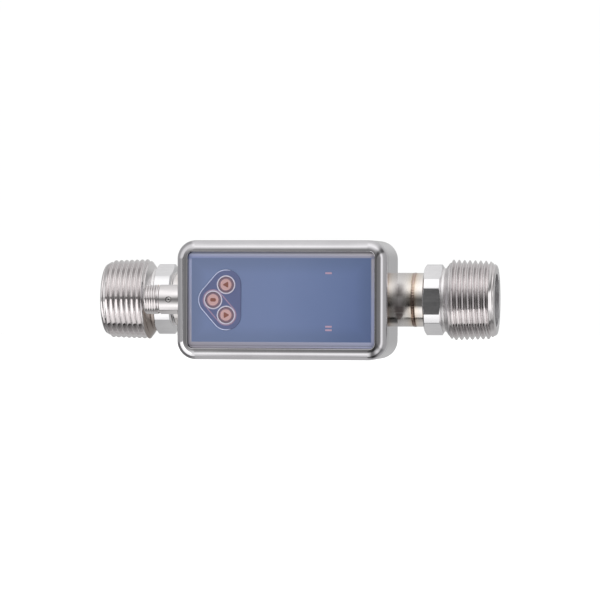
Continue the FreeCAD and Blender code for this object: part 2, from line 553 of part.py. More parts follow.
NODES = {
    "front_bezel": front_bezel,
    "housing_shell": housing_shell,
    "housing_seal": housing_seal,
    "housing_screws": housing_screws,
    "measuring_pipe": measuring_pipe,
    "inlet_fitting": inlet_fitting,
    "outlet_fitting": outlet_fitting,
    "inlet_weld": inlet_weld,
    "outlet_weld": outlet_weld,
    "pipe_saddle": pipe_saddle,
    "display_lens": display_lens,
    "lens_gasket": lens_gasket,
    "keypad_pad": keypad_pad,
    "key_rims": key_rims,
    "key_back": caps["back"],
    "key_enter": caps["enter"],
    "key_forward": caps["forward"],
    "status_marks": status_marks,
    "light_guides": light_guides,
    "status_leds": status_leds,
    "display_module": display_module,
    "display_flex": display_flex,
    "electronics_carrier": electronics_carrier,
    "display_board": display_board,
    "tactile_switches": tactile_switches,
    "main_board": main_board,
    "board_chips": board_chips,
    "board_standoffs": board_standoffs,
    "board_screws": board_screws,
    "mezzanine_connector": mezzanine_connector,
    "upstream_wedge": upstream_wedge,
    "downstream_wedge": downstream_wedge,
    "upstream_piezo": upstream_piezo,
    "downstream_piezo": downstream_piezo,
    "upstream_backing": upstream_backing,
    "downstream_backing": downstream_backing,
    "transducer_clamp": transducer_clamp,
    "clamp_screws": clamp_screws,
    "temperature_sensor": temperature_sensor,
    "transducer_leads": transducer_leads,
    "sensor_leads": sensor_leads,
    "connector_shell": connector_shell,
    "connector_insert": connector_insert,
    "connector_pins": connector_pins,
    "connector_oring": connector_oring,
    "connector_nut": connector_nut,
    "connector_index_pin": connector_index_pin,
    "connector_wires": connector_wires,
}

os.makedirs("parts", exist_ok=True)
for name, shape in NODES.items():
    bb = shape.BoundBox
    print(name, "solids", len(shape.Solids), "valid", shape.isValid(), "volume", round(shape.Volume, 1),
          "x", round(bb.XMin, 2), round(bb.XMax, 2), "y", round(bb.YMin, 2), round(bb.YMax, 2),
          "z", round(bb.ZMin, 2), round(bb.ZMax, 2))
    shape.exportStep("parts/" + name + ".step")
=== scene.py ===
import json
import math

import bmesh
import bpy
from mathutils import Matrix, Vector


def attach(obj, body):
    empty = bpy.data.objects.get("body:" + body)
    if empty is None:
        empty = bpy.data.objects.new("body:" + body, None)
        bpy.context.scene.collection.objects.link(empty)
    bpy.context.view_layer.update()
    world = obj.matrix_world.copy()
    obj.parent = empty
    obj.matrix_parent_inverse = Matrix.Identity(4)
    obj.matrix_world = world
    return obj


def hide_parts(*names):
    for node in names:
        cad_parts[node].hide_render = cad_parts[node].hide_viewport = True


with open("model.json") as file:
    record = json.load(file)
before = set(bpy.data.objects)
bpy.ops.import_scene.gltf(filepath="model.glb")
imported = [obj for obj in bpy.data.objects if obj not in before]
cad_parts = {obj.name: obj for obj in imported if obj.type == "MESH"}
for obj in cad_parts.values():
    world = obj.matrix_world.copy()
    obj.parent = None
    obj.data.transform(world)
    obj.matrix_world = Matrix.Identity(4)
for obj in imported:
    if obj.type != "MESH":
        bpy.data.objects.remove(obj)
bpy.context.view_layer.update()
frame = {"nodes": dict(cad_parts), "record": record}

MM = 0.001
nodes = frame["nodes"]


# ------------------------------------------------------------------ camera
AZIMUTH, ELEVATION, ROLL = math.radians(9.14), math.radians(0.33), math.radians(0.14)
DISTANCE = 1.3
camera = bpy.data.objects.new("camera", bpy.data.cameras.new("camera"))
bpy.context.scene.collection.objects.link(camera)
camera.data.sensor_fit = "HORIZONTAL"
camera.data.sensor_width = 36.0
camera.data.lens = 188.85
camera.data.clip_end = 100.0
back = Vector((math.sin(AZIMUTH) * math.cos(ELEVATION), -math.cos(AZIMUTH) * math.cos(ELEVATION), math.sin(ELEVATION)))
level = Vector((math.cos(AZIMUTH), math.sin(AZIMUTH), 0.0))
right = level * math.cos(ROLL) + back.cross(level) * math.sin(ROLL)
up = back.cross(right)
place = back * DISTANCE - right * 0.00019 - up * 0.00024
camera.matrix_world = Matrix((
    (right.x, up.x, back.x, place.x), (right.y, up.y, back.y, place.y), (right.z, up.z, back.z, place.z), (0, 0, 0, 1)))
bpy.context.scene.camera = camera
bpy.context.scene.view_settings.view_transform = "Standard"


# ------------------------------------------------------------------ node helpers
class Graph:
    """Small helper round a node tree."""

    def __init__(self, tree):
        self.tree = tree
        self.n = tree.nodes
        self.n.clear()

    def add(self, kind, **values):
        node = self.n.new(kind)
        for key, value in values.items():
            if hasattr(node, key) and key not in node.inputs:
                setattr(node, key, value)
            else:
                self.set(node, key, value)
        return node

    def set(self, node, key, value):
        socket = node.inputs[key]
        if isinstance(value, bpy.types.NodeSocket):
            self.tree.links.new(value, socket)
        else:
            socket.default_value = value

    def math(self, op, a, b=None, c=None, clamp=False):
        node = self.n.new("ShaderNodeMath")
        node.operation = op
        node.use_clamp = clamp
        for i, v in enumerate((a, b, c)):
            if v is None:
                continue
            if isinstance(v, bpy.types.NodeSocket):
                self.tree.links.new(v, node.inputs[i])
            else:
                node.inputs[i].default_value = v
        return node.outputs[0]

    def ramp(self, fac, stops, mode="LINEAR"):
        node = self.n.new("ShaderNodeValToRGB")
        node.color_ramp.interpolation = mode
        e = node.color_ramp.elements
        while len(e) > 1:
            e.remove(e[-1])
        for i, (pos, col) in enumerate(stops):
            if not isinstance(col, (tuple, list)):
                col = (col, col, col)
            item = e[0] if i == 0 else e.new(pos)
            item.position = pos
            item.color = (*col[:3], 1.0)
        self.tree.links.new(fac, node.inputs["Fac"])
        return node.outputs["Color"]

    def map(self, value, a, b, c, d, mode="LINEAR"):
        node = self.n.new("ShaderNodeMapRange")
        node.interpolation_type = mode
        self.tree.links.new(value, node.inputs["Value"])
        for key, v in (("From Min", a), ("From Max", b), ("To Min", c), ("To Max", d)):
            if isinstance(v, bpy.types.NodeSocket):
                self.tree.links.new(v, node.inputs[key])
            else:
                node.inputs[key].default_value = v
        return node.outputs["Result"]

    def mix(self, fac, a, b, blend="MIX"):
        node = self.n.new("ShaderNodeMix")
        node.data_type = "RGBA"
        node.blend_type = blend
        for key, v in ((0, fac), (6, a), (7, b)):
            if isinstance(v, bpy.types.NodeSocket):
                self.tree.links.new(v, node.inputs[key])
            elif key == 0:
                node.inputs[key].default_value = v
            else:
                node.inputs[key].default_value = (*v[:3], 1.0) if isinstance(v, (tuple, list)) else (v, v, v, 1.0)
        return node.outputs[2]

    def coords(self):
        return self.n.new("ShaderNodeTexCoord").outputs["Object"]

    def scaled(self, vector, scale):
        node = self.n.new("ShaderNodeVectorMath")
        node.operation = "MULTIPLY"
        self.tree.links.new(vector, node.inputs[0])
        node.inputs[1].default_value = scale
        return node.outputs[0]

    def split(self, vector):
        node = self.n.new("ShaderNodeSeparateXYZ")
        self.tree.links.new(vector, node.inputs[0])
        return node.outputs

    def noise(self, vector, scale, detail=2.0, rough=0.5, distort=0.0):
        node = self.n.new("ShaderNodeTexNoise")
        self.tree.links.new(vector, node.inputs["Vector"])
        node.inputs["Scale"].default_value = scale
        node.inputs["Detail"].default_value = detail
        node.inputs["Roughness"].default_value = rough
        node.inputs["Distortion"].default_value = distort
        return node.outputs["Fac"]

    def bump(self, height, strength, distance, normal=None):
        node = self.n.new("ShaderNodeBump")
        node.inputs["Strength"].default_value = strength
        node.inputs["Distance"].default_value = distance
        self.tree.links.new(height, node.inputs["Height"])
        if normal is not None:
            self.tree.links.new(normal, node.inputs["Normal"])
        return node.outputs["Normal"]


# ------------------------------------------------------------------ studio light
world = bpy.data.worlds.new("studio")
bpy.context.scene.world = world
world.use_nodes = True
g = Graph(world.node_tree)
ray = g.split(g.n.new("ShaderNodeTexCoord").outputs["Generated"])
minus_y = g.math("MULTIPLY", ray[1], -1.0)
# angle from the camera's side (0) over the rim (90) to behind (180), read along four quarters
away = g.math("DIVIDE", g.math("ARCCOSINE", minus_y), math.pi)


def quarter(stops):
    return g.ramp(away, [(a / 180.0, v) for a, v in stops])


above = quarter([(0, 0.13), (5, 0.17), (10, 0.28), (19, 0.48), (26, 0.66), (32, 0.87), (44, 1.25), (56, 1.48), (66, 1.46), (80, 1.3),
                 (88, 1.14), (94, 1.03), (108, 0.92), (122, 0.86), (150, 0.74), (180, 0.62)])
below = quarter([(0, 0.12), (8, 0.1), (26, 0.1), (29, 0.3), (32, 0.75), (36, 1.05), (42, 1.25), (54, 1.32), (66, 1.2), (76, 1.14), (79.5, 1.05),
                 (81.5, 0.3), (83, 0.05), (90, 0.05), (94, 0.36), (104, 0.46), (115, 0.62), (150, 0.6), (180, 0.54)])
# in front of the housing the panels come further forward
above_mid = quarter([(0, 0.17), (8, 0.17), (12, 0.22), (21, 0.7), (32, 1.2), (44, 1.65), (55, 1.35), (70, 1.04), (84, 1.02), (100, 0.97), (120, 0.96),
                     (150, 0.74), (180, 0.62)])
below_mid = quarter([(0, 0.27), (13, 0.34), (25, 0.34), (34, 0.7), (42, 1.4), (50, 1.6), (60, 1.25), (70, 0.72), (89, 0.68), (126, 0.68), (150, 0.6),
                     (180, 0.54)])
# far to the left they reach nearly down to the horizon
above_far = quarter([(0, 0.28), (3, 0.5), (6, 0.64), (10, 0.78), (18, 1.0), (33, 1.25), (48, 1.4), (60, 1.5), (72, 1.4), (82, 1.15),
                     (97, 1.0), (116, 0.9), (150, 0.74), (180, 0.62)])
below_far = quarter([(0, 0.28), (3, 0.2), (7, 0.22), (10, 0.4), (14, 0.6), (21, 0.8), (29, 1.05), (45, 1.3), (60, 1.38), (78, 1.35), (87, 1.25),
                     (90, 0.9), (92, 0.15), (97, 0.15), (104, 0.42), (126, 0.46), (180, 0.5)])
upper_left = quarter([(0, 0.2), (20, 0.4), (35, 0.85), (46, 1.2), (54, 1.06), (64, 1.06), (76, 1.02), (86, 0.76), (98, 0.54), (123, 0.5), (180, 0.5)])
lower_left = quarter([(0, 0.2), (20, 0.4), (35, 1.1), (46, 2.0), (56, 2.4), (61, 2.2), (66, 1.65), (76, 1.55), (88, 1.3), (91, 1.1), (92.5, 0.04),
                      (96, 0.04), (98, 0.2), (126, 0.24), (180, 0.3)])
left = quarter([(0, 0.115), (7, 0.115), (9, 0.25), (24, 0.26), (54, 0.27), (60, 0.55), (68, 0.68), (76, 0.52), (90, 0.46), (180, 0.5)])
left_near = quarter([(0, 0.09), (24, 0.1), (40, 0.2), (54, 0.27), (60, 0.55), (68, 0.68), (76, 0.52), (90, 0.46), (180, 0.5)])
right_side = quarter([(0, 0.13), (7, 0.27), (34, 0.29), (45, 0.5), (52, 1.28), (65, 1.42), (74, 0.8), (84, 0.58), (120, 0.52), (180, 0.5)])
x2 = g.math("MULTIPLY", ray[0], ray[0])
z2 = g.math("MULTIPLY", ray[2], ray[2])
upright = g.math("DIVIDE", z2, g.math("ADD", g.math("ADD", x2, z2), 0.00001))
far = g.map(ray[0], -0.195, -0.2035, 0.0, 1.0, "SMOOTHSTEP")
mid = g.map(ray[0], -0.127, -0.137, 0.0, 1.0, "SMOOTHSTEP")
over_under = g.mix(g.map(ray[2], -0.02, 0.02, 0.0, 1.0), g.mix(far, g.mix(mid, below, below_mid), below_far),
                   g.mix(far, g.mix(mid, above, above_mid), above_far))
sideways = g.mix(g.map(ray[0], -0.05, 0.05, 0.0, 1.0), g.mix(mid, left_near, left), right_side)
tent = g.mix(upright, sideways, over_under)
# the upper and lower left panels leave a narrow dark slot between them
tilt = g.math("MULTIPLY_ADD", g.math("ARCTAN2", ray[2], g.math("MULTIPLY", ray[0], -1.0)), 1.0 / (2.0 * math.pi), 0.5)
lift = g.map(away, 48.0 / 180.0, 54.0 / 180.0, 4.5 / 360.0, 0.0)
slot = g.ramp(g.math("SUBTRACT", tilt, lift), [((a + 180.0) / 360.0, v) for a, v in ((-180, 0.0), (-7.5, 0.0), (-4.5, 1.0), (2.5, 1.0), (4.0, 0.0), (180, 0.0))])
left_panels = g.mix(slot, g.mix(g.map(ray[2], -0.02, 0.02, 0.0, 1.0), lower_left, upper_left), left)
at_left = g.math("MULTIPLY", g.map(ray[0], -0.28, -0.42, 0.0, 1.0, "SMOOTHSTEP"), g.map(away, 42.0 / 180.0, 48.0 / 180.0, 0.0, 1.0, "SMOOTHSTEP"))
tent = g.mix(at_left, tent, left_panels)
# the tent is open between its right panel and the upper and lower ones
round_rim = g.math("MULTIPLY_ADD", g.math("ARCTAN2", ray[2], ray[0]), 1.0 / (2.0 * math.pi), 0.5)
gap = g.ramp(round_rim, [((a + 180.0) / 360.0, v) for a, v in (
    (-180, 1.0), (-97, 1.0), (-90, 0.7), (-82, 0.2), (-72, 0.2), (-62, 0.6), (-54, 0.85), (-46, 0.75), (-38, 0.6), (-32, 0.65), (-27, 1.0),
    (19, 1.0), (24, 0.8), (29, 0.22), (39, 0.25), (50, 0.8), (60, 1.0), (180, 1.0))])
gap = g.mix(g.map(away, 0.6, 0.72, 0.0, 1.0, "SMOOTHSTEP"), gap, (1.0, 1.0, 1.0))
light = g.mix(1.0, tent, gap, "MULTIPLY")
background = g.add("ShaderNodeBackground", Color=light, Strength=1.0)
out = g.n.new("ShaderNodeOutputWorld")
world.node_tree.links.new(background.outputs[0], out.inputs["Surface"])


def stage_material(name, color, glow):
    m = bpy.data.materials.new(name)
    m.use_nodes = True
    gm = Graph(m.node_tree)
    shader = gm.add("ShaderNodeBsdfPrincipled", **{"Base Color": (*color, 1.0), "Roughness": 0.9, "Emission Color": (1, 1, 1, 1), "Emission Strength": glow})
    o = gm.n.new("ShaderNodeOutputMaterial")
    m.node_tree.links.new(shader.outputs[0], o.inputs["Surface"])
    return m


def stage_mesh(name, bm, material):
    me = bpy.data.meshes.new(name)
    bm.to_mesh(me)
    bm.free()
    ob = bpy.data.objects.new(name, me)
    bpy.context.scene.collection.objects.link(ob)
    me.materials.append(material)
    ob.visible_glossy = ob.visible_diffuse = ob.visible_transmission = ob.visible_shadow = False
    return ob


bm = bmesh.new()
bmesh.ops.create_icosphere(bm, subdivisions=5, radius=9.0)
stage_mesh("backdrop", bm, stage_material("backdrop_white", (0.0, 0.0, 0.0), 1.0))
bm = bmesh.new()
bmesh.ops.create_circle(bm, cap_ends=True, segments=96, radius=8.5)
bmesh.ops.translate(bm, verts=bm.verts, vec=(0, 0, -0.16))
stage_mesh("floor", bm, stage_material("floor_white", (0.5, 0.5, 0.5), 0.75))




# ------------------------------------------------------------------ materials
def material(name):
    m = bpy.data.materials.new(name)
    m.use_nodes = True
    gm = Graph(m.node_tree)
    shader = gm.n.new("ShaderNodeBsdfPrincipled")
    o = gm.n.new("ShaderNodeOutputMaterial")
    m.node_tree.links.new(shader.outputs[0], o.inputs["Surface"])
    return m, gm, shader


def steel(name, tone=(0.64, 0.625, 0.615), rough=(0.10, 0.17), stretch=(1, 1, 1), grain=900.0, depth=0.000004, strength=0.25,
          vary=0.07, heat=False, painted_housing_shade=False, lower_front_dark=0.0):
    """Stainless steel: tool or grinding lines, faint clouding, heat tint beside the pipe welds, optional painted shade
    of the housing on the pipe, and optional darkening towards the lower front.
    """
    m, gm, s = material(name)
    co = gm.coords()
    broad = gm.noise(co, 60.0, 3.0, 0.55)
    lines = gm.noise(gm.scaled(co, stretch), grain, 3.0, 0.6)
    coarse = gm.noise(gm.scaled(co, stretch), grain * 0.23, 2.0, 0.5)
    both = gm.math("MULTIPLY_ADD", coarse, 0.5, gm.math("MULTIPLY", lines, 0.5))
    dark = tuple(c * (1.0 - vary) for c in tone)
    color = gm.ramp(broad, [(0.3, dark), (0.7, tone)])
    color = gm.mix(gm.map(both, 0.35, 0.65, 0.0, 1.0), gm.mix(1.0, color, (0.94, 0.94, 0.945), "MULTIPLY"), color)
    if heat:
        x = gm.split(co)[0]
        from_weld = gm.math("ABSOLUTE", gm.math("SUBTRACT", gm.math("ABSOLUTE", x), 0.0479))
        wander = gm.noise(gm.scaled(co, (0.7, 1.0, 1.0)), 150.0, 3.0, 0.6)
        reach = gm.math("MULTIPLY_ADD", gm.math("SUBTRACT", wander, 0.5), 0.35, gm.math("MULTIPLY", from_weld, gm.map(x, -0.01, 0.01, 260.0, 125.0)))
        tint = gm.ramp(reach, [
            (0.0, (0.80, 0.68, 0.64)), (0.045, (0.72, 0.58, 0.50)), (0.09, (0.86, 0.75, 0.64)), (0.18, (0.97, 0.91, 0.83)),
            (0.34, (0.97, 0.95, 0.91)), (0.62, (0.99, 0.98, 0.97)), (0.9, (1.0, 1.0, 1.0))])
        color = gm.mix(1.0, color, tint, "MULTIPLY")
    # darker and browner towards the lower front of the surface; on the inlet grooves this is painted shade under the
    # plug connector
    if lower_front_dark:
        x, y, z = gm.split(co)
        lower_front = gm.math("MULTIPLY", gm.map(z, 0.003, -0.002, 0.0, lower_front_dark, "SMOOTHSTEP"), gm.map(y, 0.004, -0.002, 0.0, 1.0))
        color = gm.mix(lower_front, color, gm.mix(1.0, color, (0.36, 0.30, 0.26), "MULTIPLY"))
    gloss = gm.map(both, 0.3, 0.7, rough[0], rough[1])
    # painted shade and painted reflection of the housing: the pipe darkens beside the box, in patches above and below
    # its axis and most in the lower corner
    if painted_housing_shade:
        x, y, z = gm.split(co)
        patch = gm.noise(co, 260.0, 3.0, 0.6)
        near = gm.math("MULTIPLY_ADD", gm.math("SUBTRACT", patch, 0.5), 0.0014, gm.math("ABSOLUTE", x))
        share = gm.map(near, 0.042, 0.048, 0.0, 1.0)
        slant = gm.math("MULTIPLY_ADD", gm.math("MAXIMUM", gm.math("SUBTRACT", -0.0034, z), 0.0), 0.44, near)
        corner = gm.math("MULTIPLY", gm.ramp(gm.map(slant, 0.042, 0.048, 0.0, 1.0), [(0.36, 1.0), (0.44, 0.9), (0.54, 0.1), (0.6, 0.0)]),
                         gm.ramp(gm.map(z, -0.011, 0.011, 0.0, 1.0), [(0.12, 0.2), (0.145, 1.0), (0.24, 1.0), (0.28, 0.5), (0.32, 0.0)]))
        below_axis = gm.ramp(share, [(0.0, 1.0), (0.3, 1.0), (0.46, 0.55), (0.74, 0.46), (0.88, 0.0)])
        above_axis = gm.ramp(share, [(0.0, 0.75), (0.2, 0.7), (0.36, 0.3), (0.52, 0.0)])
        low = gm.ramp(gm.map(z, -0.011, 0.011, 0.0, 1.0), [(0.0, 0.08), (0.12, 0.1), (0.2, 0.12), (0.25, 0.6), (0.28, 1.0), (0.36, 0.9), (0.42, 0.45), (0.5, 0.14), (0.56, 0.0)])
        high = gm.ramp(gm.map(z, -0.011, 0.011, 0.0, 1.0), [(0.52, 0.0), (0.58, 0.9), (0.68, 0.75), (0.81, 0.0)])
        amount = gm.math("MAXIMUM", corner, gm.math("MAXIMUM", gm.math("MULTIPLY", below_axis, low), gm.math("MULTIPLY", above_axis, high)))
        amount = gm.math("MULTIPLY", amount, gm.map(y, 0.001, -0.005, 0.0, 1.0))
        color = gm.mix(amount, color, gm.mix(1.0, color, (0.27, 0.24, 0.235), "MULTIPLY"))
        gloss = gm.math("ADD", gloss, gm.map(slant, 0.0436, 0.0466, 0.3, 0.0))
    gm.set(s, "Base Color", color)
    s.inputs["Metallic"].default_value = 1.0
    gm.set(s, "Roughness", gloss)
    gm.set(s, "Normal", gm.bump(both, strength, depth))
    return m


def plain(name, color, rough=(0.4, 0.55), grain=1500.0, depth=0.00001, strength=0.2, vary=0.12, metallic=0.0):
    """Moulded or coated surface: clouded colour, fine texture and uneven gloss."""
    m, gm, s = material(name)
    co = gm.coords()
    broad = gm.noise(co, 90.0, 3.0, 0.5)
    fine = gm.noise(co, grain, 2.0, 0.5)
    low = tuple(c * (1.0 - vary) for c in color)
    high = tuple(min(1.0, c * (1.0 + vary)) for c in color)
    gm.set(s, "Base Color", gm.ramp(broad, [(0.3, low), (0.7, high)]))
    gm.set(s, "Roughness", gm.map(fine, 0.3, 0.7, rough[0], rough[1]))
    gm.set(s, "Normal", gm.bump(fine, strength, depth))
    if metallic:
        s.inputs["Metallic"].default_value = metallic
    return m


def window():
    """Slate blue window with painted light: lighter to the upper left and deeper to the lower right, painted shade
    towards its recessed edge, and a pale bevelled border with a lighter top and painted highlight and shade lines.
    """
    m, gm, s = material("window_blue")
    co = gm.coords()
    x, y, z = gm.split(co)
    cloud = gm.noise(co, 45.0, 2.0, 0.5)
    fine = gm.noise(co, 2200.0, 2.0, 0.5)
    # painted light: the blue is lighter to the upper left and deeper to the lower right, with a little random clouding
    painted_light_across = gm.math("MULTIPLY_ADD", x, 9.5, gm.math("MULTIPLY_ADD", z, -2.5, gm.math("MULTIPLY_ADD", cloud, 0.14, 0.36)))
    blue = gm.ramp(painted_light_across, [(0.1, (0.218, 0.276, 0.470)), (0.42, (0.210, 0.274, 0.482)), (0.65, (0.172, 0.234, 0.430)),
                            (0.92, (0.110, 0.158, 0.335))])
    # painted shade: the blue darkens towards the window's recessed edge
    from_edge = gm.math("MINIMUM", gm.math("SUBTRACT", 0.0361, gm.math("ABSOLUTE", x)), gm.math("SUBTRACT", 0.0167, gm.math("ABSOLUTE", z)))
    blue = gm.mix(gm.map(from_edge, 0.001, 0.0075, 1.0, 0.0, "SMOOTHSTEP"), blue, gm.mix(1.0, blue, (0.89, 0.89, 0.865), "MULTIPLY"))
    edge_x = gm.math("MAXIMUM", gm.map(x, 0.0361, 0.0366, 0.0, 1.0), gm.map(x, -0.03595, -0.03618, 0.0, 1.0))
    edge_z = gm.map(gm.math("ABSOLUTE", z), 0.01662, 0.01684, 0.0, 1.0)
    border = gm.math("MAXIMUM", edge_x, edge_z)
    # the pale bevelled border with painted light: lighter along the top, darker along the bottom and bluer at the sides
    pale = gm.ramp(gm.math("MULTIPLY_ADD", z, 14.0, gm.math("MULTIPLY_ADD", x, 4.0, 0.5)),
                   [(0.1, (0.44, 0.415, 0.48)), (0.55, (0.43, 0.48, 0.72)), (0.9, (0.55, 0.525, 0.575))])
    # painted highlight and painted shade: thin light and dark lines along the top and bottom of the border
    lines = gm.ramp(gm.map(z, -0.0195, 0.0195, 0.0, 1.0), [
        (0.0, (1.0, 1.0, 1.0)), (0.02, (1.25, 1.25, 1.25)), (0.031, (0.7, 0.7, 0.7)), (0.045, (0.9, 0.9, 0.9)), (0.09, (1.0, 1.0, 1.0)),
        (0.91, (1.0, 1.0, 1.0)), (0.928, (0.58, 0.64, 0.78)), (0.948, (0.75, 0.76, 0.84)), (0.96, (1.05, 1.05, 1.05)), (0.97, (0.85, 0.85, 0.85)),
        (0.98, (0.45, 0.45, 0.45)), (1.0, (0.5, 0.5, 0.5))])
    gm.set(s, "Base Color", gm.mix(border, blue, gm.mix(1.0, pale, lines, "MULTIPLY")))
    gm.set(s, "Roughness", gm.map(fine, 0.3, 0.7, 0.17, 0.23))
    gm.set(s, "Normal", gm.bump(fine, 0.05, 0.000004))
    return m


M = {
    "stainless_polished": steel("stainless_polished", tone=(0.635, 0.622, 0.64), rough=(0.07, 0.12), stretch=(0.03, 1.0, 0.03), grain=3200.0, depth=0.000003, strength=0.2),
    "stainless_turned": steel("stainless_turned", tone=(0.78, 0.75, 0.75), rough=(0.05, 0.09), stretch=(1, 1, 1), grain=260.0, depth=0.000002, strength=0.05),
    # the pipe carries painted shade of the housing beside the box
    "stainless_pipe": steel("stainless_pipe", tone=(0.70, 0.68, 0.67), rough=(0.08, 0.13), stretch=(6, 0.6, 0.6), heat=True, painted_housing_shade=True),
    "stainless_screw": steel("stainless_screw", rough=(0.2, 0.3)),
    "weld_tint": steel("weld_tint", tone=(0.64, 0.595, 0.56), rough=(0.14, 0.24), heat=True, lower_front_dark=0.8),
    "rubber_black": plain("rubber_black", (0.02, 0.02, 0.022), (0.5, 0.7)),
    "window_blue": window(),
    "keypad_blue": plain("keypad_blue", (0.146, 0.171, 0.325), (0.3, 0.4), vary=0.05),
    "key_rim": plain("key_rim", (0.70, 0.66, 0.78), (0.3, 0.4), vary=0.05),
    "key_orange": plain("key_orange", (0.665, 0.42, 0.42), (0.4, 0.5), vary=0.06),
    "mark_red": plain("mark_red", (0.56, 0.38, 0.50), (0.4, 0.5), vary=0.06),
    "clear_plastic": plain("clear_plastic", (0.8, 0.82, 0.85), (0.1, 0.2), vary=0.04),
    "white_plastic": plain("white_plastic", (0.8, 0.8, 0.78), (0.35, 0.45), vary=0.04),
    "display_glass": plain("display_glass", (0.02, 0.03, 0.04), (0.05, 0.1), vary=0.2),
    "flex_film": plain("flex_film", (0.62, 0.30, 0.08), (0.3, 0.4)),
    "black_plastic": plain("black_plastic", (0.025, 0.025, 0.028), (0.4, 0.55)),
    "circuit_board": plain("circuit_board", (0.02, 0.16, 0.07), (0.3, 0.45)),
    "brass_plain": plain("brass_plain", (0.78, 0.58, 0.26), (0.2, 0.3), metallic=1.0),
    "wedge_plastic": plain("wedge_plastic", (0.70, 0.52, 0.26), (0.3, 0.4)),
    "piezo_ceramic": plain("piezo_ceramic", (0.72, 0.66, 0.52), (0.5, 0.6)),
    "backing_resin": plain("backing_resin", (0.06, 0.06, 0.07), (0.5, 0.6)),
    "lead_insulation": plain("lead_insulation", (0.55, 0.10, 0.08), (0.4, 0.5)),
    "gold_pin": plain("gold_pin", (0.95, 0.74, 0.36), (0.15, 0.25), metallic=1.0),
    "index_dot": steel("index_dot", rough=(0.15, 0.25)),
}
slots = {p["node"]: p["material_slot"] for p in frame["record"]["subparts"]}
for name, ob in nodes.items():
    ob.data.materials.clear()
    ob.data.materials.append(M[slots[name]])
hex_steel = steel("stainless_milled", tone=(0.83, 0.82, 0.83), rough=(0.07, 0.13), stretch=(0.5, 2.0, 2.0), grain=1200.0, depth=0.000002)
stub_steel = steel("stainless_stub", tone=(0.80, 0.77, 0.76), rough=(0.08, 0.13), stretch=(6, 0.6, 0.6), heat=True)
bore_steel = steel("stainless_bore", tone=(0.82, 0.81, 0.82), rough=(0.26, 0.36), stretch=(5, 0.6, 0.6), grain=600.0, depth=0.000012, strength=0.5)
# the inlet grooves get painted shade on their lower front, under the plug connector
groove_steel = {side: steel("stainless_groove_" + side, tone=(0.84, 0.82, 0.82), rough=(0.29, 0.39), stretch=(6, 0.6, 0.6), grain=700.0,
                            depth=0.000004, strength=0.15, lower_front_dark=under_plug_shade) for side, under_plug_shade in (("outlet", 0.0), ("inlet", 0.85))}
symbol_ink = plain("symbol_brown", (0.28, 0.11, 0.085), (0.45, 0.6), vary=0.1)
# darker mauve-brown for the painted shade on the key caps' sloping rim
skirt_painted_shade = plain("skirt_painted_shade", (0.27, 0.18, 0.235), (0.45, 0.6), vary=0.1)
# pale blue for the painted highlight along the keypad's left edge
edge_painted_highlight = plain("edge_painted_highlight_blue", (0.66, 0.71, 0.95), (0.3, 0.4), vary=0.06)
line_rose = plain("line_rose", (0.40, 0.28, 0.42), (0.35, 0.45), vary=0.08)


# ------------------------------------------------------------------ mesh helpers
def piece(name, bm, mats, body, slot, *stands_for, smooth=35.0):
    """A finished mesh as a piece of the object."""
    bmesh.ops.recalc_face_normals(bm, faces=bm.faces)
    me = bpy.data.meshes.new(name)
    bm.to_mesh(me)
    bm.free()
    for mat in mats:
        me.materials.append(mat)
    me.shade_smooth()
    me.set_sharp_from_angle(angle=math.radians(smooth))
    ob = bpy.data.objects.new(name, me)
    bpy.context.scene.collection.objects.link(ob)
    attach(ob, body)
    if stands_for:
        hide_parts(*stands_for)
    return ob


def skin(bm, rows, close=True, wrap=False):
    """Quads between successive rows of points. A row is closed on itself; wrap joins the last row to the first."""
    verts = [[bm.verts.new(p) for p in row] for row in rows]
    n = len(rows[0])
    pairs = list(zip(range(len(rows) - 1), range(1, len(rows))))
    if wrap:
        pairs.append((len(rows) - 1, 0))
    faces = []
    for a, b in pairs:
        for j in range(n if close else n - 1):
            k = (j + 1) % n
            faces.append(bm.faces.new((verts[a][j], verts[a][k], verts[b][k], verts[b][j])))
    return verts, faces


def lathe_y(bm, profile, cx, cz, n=64):
    """Solid of revolution about a line along Y. The profile runs from axis to axis as (radius, y) in mm."""
    rows = []
    for r, y in profile[1:-1]:
        rows.append([Vector((cx + r * math.cos(2 * math.pi * j / n), y, cz + r * math.sin(2 * math.pi * j / n))) * MM for j in range(n)])
    verts, faces = skin(bm, rows)
    for end, row in ((profile[0], verts[0]), (profile[-1], verts[-1])):
        tip = bm.verts.new(Vector((cx, end[1], cz)) * MM)
        for j in range(n):
            faces.append(bm.faces.new((row[j], row[(j + 1) % n], tip)))
    return faces


# ------------------------------------------------------------------ process fittings
PIPE_R, BORE_R, STUB_X, END_X = 11.05, 9.5, 48.6, 81.5
HEX_X0, HEX_X1, HEX_AF, HEX_R, HEX_TURN = 52.15, 59.55, 27.0, 14.5, 2.6
PITCH, FIRST_CREST = 2.209, 63.7
FLATS = [math.radians(60.0 * i + HEX_TURN) for i in range(6)]
HALF_FLAT = math.acos(HEX_AF / 2.0 / HEX_R)


def hex_radius(t):
    r = HEX_R
    for n in FLATS:
        d = math.atan2(math.sin(t - n), math.cos(t - n))
        if abs(d) < math.radians(31):
            r = min(r, HEX_AF / 2.0 / math.cos(d))
    return r


CREST_SHAPE = [(0.0, 0.0), (0.05, 0.0058), (0.1, 0.024), (0.14, 0.0503), (0.17, 0.0804), (0.19, 0.11), (0.45, 0.56), (0.72, 1.028),
               (0.983, 1.483), (1.02, 1.525), (1.06, 1.547), (PITCH / 2.0, 1.553)]


def lookup(table, s):
    for (a, va), (b, vb) in zip(table, table[1:]):
        if s <= b:
            return va + (vb - va) * (s - a) / (b - a)
    return table[-1][1]


